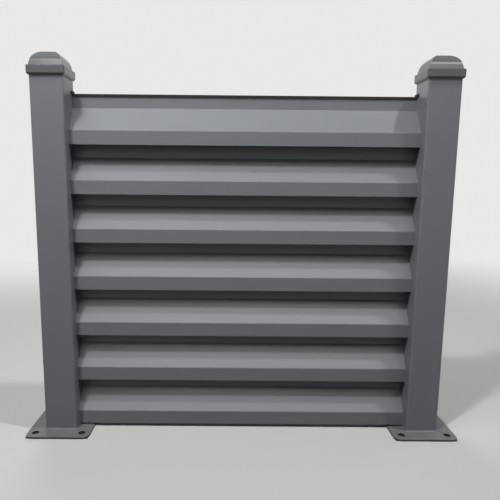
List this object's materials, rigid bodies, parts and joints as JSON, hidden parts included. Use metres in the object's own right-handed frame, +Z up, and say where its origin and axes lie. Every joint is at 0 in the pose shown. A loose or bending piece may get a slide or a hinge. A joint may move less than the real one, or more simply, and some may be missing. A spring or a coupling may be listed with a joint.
{
  "type": "noise barrier section",
  "caption": "Free-standing bay of a louvred noise barrier: folded slats before a closed back sheet, held between square posts with domed caps and drilled base plates.",
  "frame": {"origin": "on the ground, under the middle of the bay and the middle of the posts' depth", "axes": "+X along the barrier from the left post to the right post, -Y out of the louvred front, +Z up"},
  "size_m": [0.82, 0.12, 0.708],
  "materials": {
    "steel_coat": "slate grey powder coat, satin",
    "sheet_coat": "slate grey powder coat, satin",
    "cap_moulding": "slate grey moulding, semi-gloss",
    "seal_rubber": "black rubber, matt"
  },
  "bodies": {
    "root": {"left_post": "steel_coat", "right_post": "steel_coat", "left_base_plate": "steel_coat", "right_base_plate": "steel_coat", "left_foot_weld": "steel_coat", "right_foot_weld": "steel_coat", "left_post_cap": "cap_moulding", "right_post_cap": "cap_moulding", "louvre_slat_1": "sheet_coat", "louvre_slat_2": "sheet_coat", "louvre_slat_3": "sheet_coat", "louvre_slat_4": "sheet_coat", "louvre_slat_5": "sheet_coat", "louvre_slat_6": "sheet_coat", "louvre_slat_7": "sheet_coat", "back_sheet": "sheet_coat", "top_edge_seal": "seal_rubber", "left_end_seal": "seal_rubber", "right_end_seal": "seal_rubber"}
  },
  "joints": []
}
